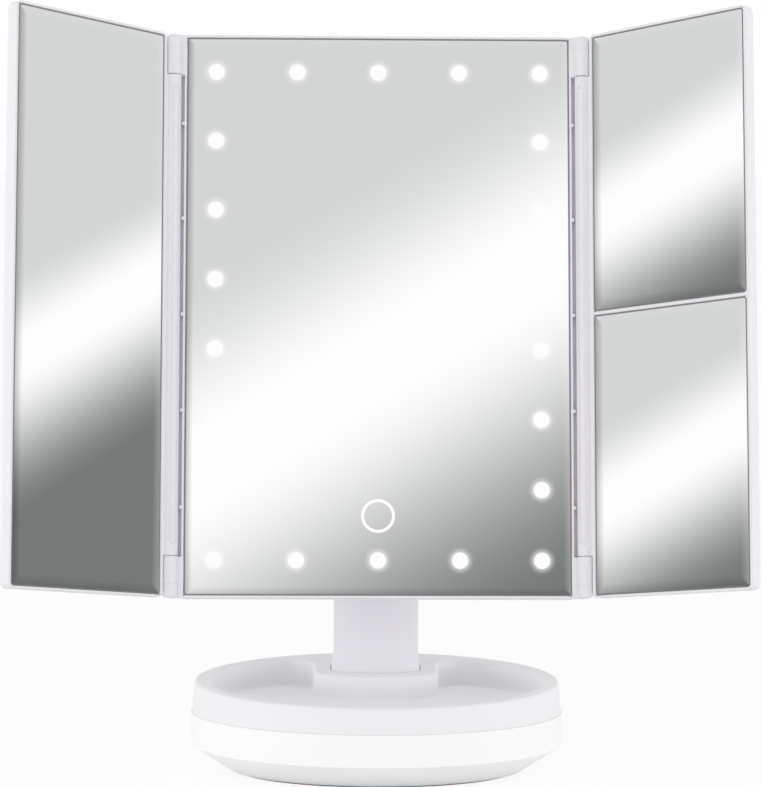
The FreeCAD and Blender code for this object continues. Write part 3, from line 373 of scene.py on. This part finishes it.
class Pane:
    """A pane's place: the middle of its front, directions across, up and outwards, and half sizes."""

    def __init__(self, name):
        mesh = frame["nodes"][name].data
        flat = max(mesh.polygons, key=lambda polygon: polygon.area)
        outward = flat.normal.copy()
        if outward.dot(CAMERA_PLACE - flat.center) < 0:
            outward.negate()
        self.out = outward
        self.across = UP.cross(outward).normalized()
        lows = []
        highs = []
        for direction in (self.across, UP, self.out):
            reach = [vertex.co.dot(direction) for vertex in mesh.vertices]
            lows.append(min(reach))
            highs.append(max(reach))
        self.half_width = (highs[0] - lows[0]) / 2
        self.half_height = (highs[1] - lows[1]) / 2
        middle_across = (highs[0] + lows[0]) / 2
        middle_up = (highs[1] + lows[1]) / 2
        self.middle = self.across * middle_across + UP * middle_up + self.out * highs[2]

    def point(self, across, up, lift=0.0):
        return self.middle + self.across * across + UP * up + self.out * lift


PANES = {name: Pane(name) for name in PANE_SHADES}
PANE_BODIES = {
    "main_mirror": "head",
    "left_mirror": "left_wing",
    "right_upper_mirror": "right_wing",
    "right_lower_mirror": "right_wing",
}


def new_piece(name, build, body, surface):
    """A mesh piece that build fills, dressed and riding on a body."""
    mesh = bpy.data.meshes.new(name)
    shape = bmesh.new()
    build(shape)
    shape.to_mesh(mesh)
    shape.free()
    for polygon in mesh.polygons:
        polygon.use_smooth = True
    mesh.materials.append(surface)
    piece = bpy.data.objects.new(name, mesh)
    bpy.context.scene.collection.objects.link(piece)
    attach(piece, body)
    piece.visible_shadow = False
    piece.visible_glossy = False


def band(shape, inner, outer):
    """Faces between two closed loops of vertices."""
    count = len(inner)
    for i in range(count):
        j = (i + 1) % count
        shape.faces.new((inner[i], inner[j], outer[j], outer[i]))


def circle(shape, pane, centre, radius, lift):
    """A closed loop of vertices round a place on a pane."""
    loop = []
    for i in range(ROUND_STEPS):
        angle = 2 * math.pi * i / ROUND_STEPS
        across = centre[0] + radius * math.cos(angle)
        up = centre[1] + radius * math.sin(angle)
        loop.append(shape.verts.new(pane.point(across, up, lift)))
    return loop


def rounded_outline(pane, inset):
    """Points round a pane, drawn in by an inset, each with the direction in which its side faces."""
    corner = max(EDGE_CORNER - inset, EDGE_CORNER / 5)
    for quarter in range(4):
        right = 1 if quarter in (0, 3) else -1
        top = 1 if quarter in (0, 1) else -1
        for step in range(CORNER_STEPS + 1):
            angle = (quarter + step / CORNER_STEPS) * math.pi / 2
            across = right * (pane.half_width - inset - corner) + corner * math.cos(angle)
            up = top * (pane.half_height - inset - corner) + corner * math.sin(angle)
            yield across, up, (math.cos(angle), math.sin(angle), 0.0)


def edge_insets(width):
    """How far in the edge's loops lie, each with its share of the way: first the line, then the bevel."""
    for step in range(LINE_STEPS + 1):
        part = step / LINE_STEPS
        yield EDGE_LINE * part, LINE_SHARE * part
    for step in range(1, EDGE_STEPS + 1):
        part = step / EDGE_STEPS
        yield EDGE_LINE + (width - EDGE_LINE) * part, LINE_SHARE + (1 - LINE_SHARE) * part


def edge_ring(pane, width):
    """The ground line round a pane and the bevel inside it, with its painted shade and highlight, as one film on
    the glass.
    """
    def build(shape):
        share_of = shape.verts.layers.float.new("share")
        side_of = shape.verts.layers.float_vector.new("side")
        loops = []
        for inset, share in edge_insets(width):
            loop = []
            for across, up, side in rounded_outline(pane, inset):
                vertex = shape.verts.new(pane.point(across, up, FILM_LIFT))
                vertex[share_of] = share
                vertex[side_of] = side
                loop.append(vertex)
            loops.append(loop)
        for outer, inner in zip(loops[:-1], loops[1:]):
            band(shape, inner, outer)
    return build


def facing_share(tree, side, pick, across, up):
    """How strongly the bevel's painted light shows on two sides: MAXIMUM picks right and top, MINIMUM left and
    bottom.
    """
    parts = [
        math_node(tree, "MULTIPLY", math_node(tree, pick, side[axis], 0.0), strength)
        for axis, strength in (("X", across), ("Y", up))]
    return math_node(tree, "ADD", *parts)


def edge_surface_with_painted_light():
    """Ground edge of a pane: a grey line, then a bevel with painted shade to the left and below and painted
    highlight elsewhere.
    """
    made, tree, shader = new_material("pane_edge_painted_light")
    share = node(tree, "Attribute", {}, attribute_name="share").outputs["Fac"]
    side = node(tree, "SeparateXYZ", {
        "Vector": node(tree, "Attribute", {}, attribute_name="side").outputs["Vector"]}).outputs
    beyond_line = smooth(tree, share, LINE_SHARE * 0.75, LINE_SHARE * 1.25)
    fade = span(tree, share, LINE_SHARE, 1.0, 1.0, 0.0)
    # Painted shade on the bevel's left and lower sides, painted highlight on its right and upper sides
    dark = facing_share(tree, side, "MINIMUM", -EDGE_PAINTED_SHADE[0], -EDGE_PAINTED_SHADE[1])
    pale = facing_share(tree, side, "MAXIMUM", *EDGE_PAINTED_HIGHLIGHT)
    bevel = math_node(tree, "MULTIPLY", math_node(tree, "MAXIMUM", dark, pale), fade)
    line = math_node(tree, "SUBTRACT", 1.0, beyond_line)
    tone = span(tree, math_node(tree, "SUBTRACT", pale, dark), -0.05, 0.05)
    bevel_painted_light = mix_colour(tree, tone, linear(*BEVEL_PAINTED_SHADE), linear(*BEVEL_PAINTED_HIGHLIGHT))
    shade = mix_colour(tree, beyond_line, linear(*LINE_GREY), bevel_painted_light)
    connect(tree, shader, Base_Color=shade, Roughness=0.6, Specular_IOR_Level=0.0,
            Alpha=math_node(tree, "MAXIMUM", bevel, line))
    return made


def lamp_windows(pane):
    """Round frosted windows in the silvering, over the lamps, each with the halo of its light."""
    centres = lamp_centres(pane)

    def build(shape):
        share_of = shape.verts.layers.float.new("share")
        for centre in centres:
            hub = shape.verts.new(pane.point(*centre, FILM_LIFT))
            loops = []
            for ring in range(1, LAMP_RINGS + 1):
                share = ring / LAMP_RINGS
                loop = circle(shape, pane, centre, LAMP_HALO * share, FILM_LIFT)
                for vertex in loop:
                    vertex[share_of] = share
                loops.append(loop)
            for i in range(ROUND_STEPS):
                shape.faces.new((hub, loops[0][i], loops[0][(i + 1) % ROUND_STEPS]))
            for inner, outer in zip(loops[:-1], loops[1:]):
                band(shape, inner, outer)
    return build


def lamp_centres(pane):
    """Middles of the lamps behind the pane, as places across and up it."""
    mesh = frame["nodes"]["lamps"].data
    centres = []
    seen = {}
    for vertex in mesh.vertices:
        across = (vertex.co - pane.middle).dot(pane.across)
        up = (vertex.co - pane.middle).dot(UP)
        key = next((old for old in seen if math.hypot(old[0] - across, old[1] - up) < LAMP_HALO), None)
        if key is None:
            key = (across, up)
            seen[key] = []
        seen[key].append((across, up))
    for places in seen.values():
        lows = [min(place[i] for place in places) for i in (0, 1)]
        highs = [max(place[i] for place in places) for i in (0, 1)]
        centres.append(tuple((low + high) / 2 for low, high in zip(lows, highs)))
    return centres


def lamp_window_surface():
    """Lit frosted glass: white core with a halo that fades out over the silvering."""
    made, tree, shader = new_material("lamp_window")
    share = node(tree, "Attribute", {}, attribute_name="share").outputs["Fac"]
    core_end = LAMP_CORE / LAMP_HALO
    core = smooth(tree, share, core_end * 0.9, core_end * 1.1, 1.0, 0.0)
    halo = math_node(tree, "POWER", span(tree, share, core_end, 1.0, HALO_STRENGTH, 0.0), HALO_FALL)
    alpha = math_node(tree, "MAXIMUM", core, halo)
    frost = varied(tree, noise(tree, object_place(tree), 1500.0), 0.96, 1.0)
    connect(tree, shader, Base_Color=(0.0, 0.0, 0.0), Roughness=0.6, Emission_Color=(1.0, 1.0, 1.0),
            Emission_Strength=frost, Alpha=alpha, Specular_IOR_Level=0.0)
    return made


def touch_ring(pane):
    """The printed ring of the touch control, slightly crowned."""
    low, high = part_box("touch_electrode")
    offset = (low + high) / 2 - pane.middle
    centre = (offset.dot(pane.across), offset.dot(UP))
    profile = ((0.0, 0.0), (0.15, 1.0), (0.85, 1.0), (1.0, 0.0))

    def build(shape):
        loops = []
        for share, crown in profile:
            radius = TOUCH_RADIUS - TOUCH_STROKE * share
            lift = FILM_LIFT / 2 + TOUCH_CROWN * crown
            loops.append(circle(shape, pane, centre, radius, lift))
        for outer, inner in zip(loops[:-1], loops[1:]):
            band(shape, inner, outer)
    return build


def touch_ring_surface():
    """Lit white ring."""
    made, tree, shader = new_material("touch_ring")
    glow = varied(tree, noise(tree, object_place(tree), 1200.0), 0.95, 1.0)
    connect(tree, shader, Base_Color=(0.0, 0.0, 0.0), Roughness=0.5, Emission_Color=(1.0, 1.0, 1.0),
            Emission_Strength=glow)
    return made


def make_pane_pieces():
    edges = edge_surface_with_painted_light()
    for name, pane in PANES.items():
        body = PANE_BODIES[name]
        new_piece(name + "_edge", edge_ring(pane, EDGE_WIDTHS[body]), body, edges)
    main = PANES["main_mirror"]
    new_piece("lamp_windows", lamp_windows(main), "head", lamp_window_surface())
    new_piece("touch_ring", touch_ring(main), "head", touch_ring_surface())


def clear_reflections():
    """Reflections show the room and the floor, as in the photograph, and none of the object itself."""
    for thing in frame["nodes"].values():
        thing.visible_glossy = False


# Room

def shade_along(tree, direction, pane, start, end, climb):
    """How far down a pane's shading a reflected ray lies: 0 where it starts, 1 where it is darkest."""
    distance = (CAMERA_PLACE - pane.middle).dot(pane.out)
    offset = CAMERA_PLACE - pane.middle
    reach = end - start
    across_rate = climb / (2 * pane.half_width) / reach
    up_rate = -1 / (2 * pane.half_height) / reach
    constant = (0.5 + climb / 2 - start) / reach
    constant += across_rate * offset.dot(pane.across) + up_rate * offset.dot(UP)
    weight = pane.across * across_rate * distance + UP * up_rate * distance + pane.out * constant
    return math_node(tree, "DIVIDE", dot(tree, direction, weight), dot(tree, direction, pane.out))


def height_along(tree, direction, pane, level):
    """Whether a reflected ray comes from above a level on a pane's plane, counted up from its middle."""
    distance = (CAMERA_PLACE - pane.middle).dot(pane.out)
    offset = (CAMERA_PLACE - pane.middle).dot(UP)
    weight = UP * distance + pane.out * (offset - level)
    return math_node(tree, "GREATER_THAN", dot(tree, direction, weight), 0.0)


def room_shade(tree):
    """The room in reflections: a part for each pane, from pale to white to dark, and white behind."""
    direction = node(tree, "TexCoord", {}).outputs["Generated"]
    heading = node(tree, "SeparateXYZ", {"Vector": direction}).outputs
    shades = {
        name: shade_along(tree, direction, PANES[name], *PANE_SHADES[name])
        for name in PANE_SHADES}
    upper = PANES["right_upper_mirror"]
    above = height_along(tree, direction, upper, -upper.half_height)
    right = mix_value(tree, above, shades["right_lower_mirror"], shades["right_upper_mirror"])
    to_right = math_node(tree, "GREATER_THAN", heading["X"], WING_SIDE)
    to_left = math_node(tree, "LESS_THAN", heading["X"], -WING_SIDE)
    place = mix_value(tree, to_right, shades["main_mirror"], shades["left_mirror"])
    place = mix_value(tree, to_left, place, right)
    colour = mix_colour(tree, smooth(tree, place, 0.0, BAND_START), PALE_SHADE, WHITE_SHADE)
    colour = mix_colour(tree, smooth(tree, place, BAND_END, 1.0), colour, DARK_SHADE)
    colour = mix_colour(tree, smooth(tree, place, *SHADE_RETURN), colour, PALE_SHADE)
    colour = node(tree, "Gamma", {"Color": colour, "Gamma": SHADE_GAMMA}).outputs["Color"]
    behind = smooth(tree, heading["Y"], *BACKDROP_RANGE)
    return mix_colour(tree, behind, colour, (1.0, 1.0, 1.0))


def make_world():
    """White for the camera, even soft light for surfaces, and the shaded room for reflections."""
    world = bpy.data.worlds.new("room")
    world.use_nodes = True
    bpy.context.scene.world = world
    tree = world.node_tree
    tree.nodes.clear()
    rays = node(tree, "LightPath", {}).outputs
    ambient = node(tree, "Background", {"Color": (1.0, 1.0, 1.0, 1.0), "Strength": AMBIENT})
    room = node(tree, "Background", {"Color": room_shade(tree), "Strength": 1.0})
    white = node(tree, "Background", {"Color": (1.0, 1.0, 1.0, 1.0), "Strength": 1.0})
    seen = math_node(tree, "MAXIMUM", rays["Is Camera Ray"], rays["Is Transmission Ray"])
    shine = node(tree, "MixShader", {
        0: rays["Is Glossy Ray"], 1: ambient.outputs[0], 2: room.outputs[0]})
    whole = node(tree, "MixShader", {0: seen, 1: shine.outputs[0], 2: white.outputs[0]})
    node(tree, "OutputWorld", {"Surface": whole.outputs[0]})


def make_floor():
    """A wide white floor that keeps the object's shadow."""
    made, tree, shader = new_material("floor")
    rays = node(tree, "LightPath", {}).outputs
    seen = math_node(tree, "MAXIMUM", rays["Is Camera Ray"], rays["Is Transmission Ray"])
    seen = math_node(tree, "MAXIMUM", seen, rays["Is Glossy Ray"])
    white = (FLOOR_WHITE, FLOOR_WHITE, FLOOR_WHITE)
    connect(tree, shader, Base_Color=white, Roughness=0.9, Specular_IOR_Level=0.0)
    glow = node(tree, "Emission", {"Color": (1.0, 1.0, 1.0, 1.0), "Strength": 1.0})
    share = math_node(tree, "MULTIPLY", seen, FLOOR_GLOW)
    mixed = node(tree, "MixShader", {0: share, 1: shader.outputs[0], 2: glow.outputs[0]})
    tree.links.new(mixed.outputs[0], tree.nodes["Material Output"].inputs["Surface"])
    mesh = bpy.data.meshes.new("floor")
    shape = bmesh.new()
    bmesh.ops.create_grid(shape, x_segments=2, y_segments=2, size=FLOOR_SIZE / 2)
    shape.to_mesh(mesh)
    shape.free()
    mesh.materials.append(made)
    floor = bpy.data.objects.new("floor", mesh)
    bpy.context.scene.collection.objects.link(floor)


def make_lights():
    """Large soft lights: one above and ahead of the object, and low ones in front and on each side."""
    for name, (place, width, height, power) in LIGHTS.items():
        data = bpy.data.lights.new(name, "AREA")
        data.shape = "RECTANGLE"
        data.size = width
        data.size_y = height
        data.energy = power
        lamp = bpy.data.objects.new(name, data)
        lamp.location = place
        lamp.rotation_euler = (LIGHTS_AIM - place).to_track_quat("-Z", "Y").to_euler()
        lamp.visible_glossy = False
        bpy.context.scene.collection.objects.link(lamp)


def make_camera():
    data = bpy.data.cameras.new("camera")
    data.sensor_width = SENSOR
    data.lens = FOCAL_PIXELS * SENSOR / IMAGE_HEIGHT
    camera = bpy.data.objects.new("camera", data)
    ahead = Vector((
        math.sin(CAMERA_PAN) * math.cos(CAMERA_PITCH),
        math.cos(CAMERA_PAN) * math.cos(CAMERA_PITCH),
        math.sin(CAMERA_PITCH)))
    level = ahead.cross(Vector((0.0, 0.0, 1.0))).normalized()
    upright = level.cross(ahead)
    right = level * math.cos(CAMERA_ROLL) + upright * math.sin(CAMERA_ROLL)
    up = upright * math.cos(CAMERA_ROLL) - level * math.sin(CAMERA_ROLL)
    turn = Matrix((right, up, -ahead)).transposed().to_4x4()
    camera.matrix_world = Matrix.Translation(CAMERA_PLACE) @ turn
    bpy.context.scene.collection.objects.link(camera)
    bpy.context.scene.camera = camera


make_camera()
dress_nodes()
make_pane_pieces()
clear_reflections()
make_world()
make_floor()
make_lights()
bpy.context.scene.view_settings.view_transform = "Standard"
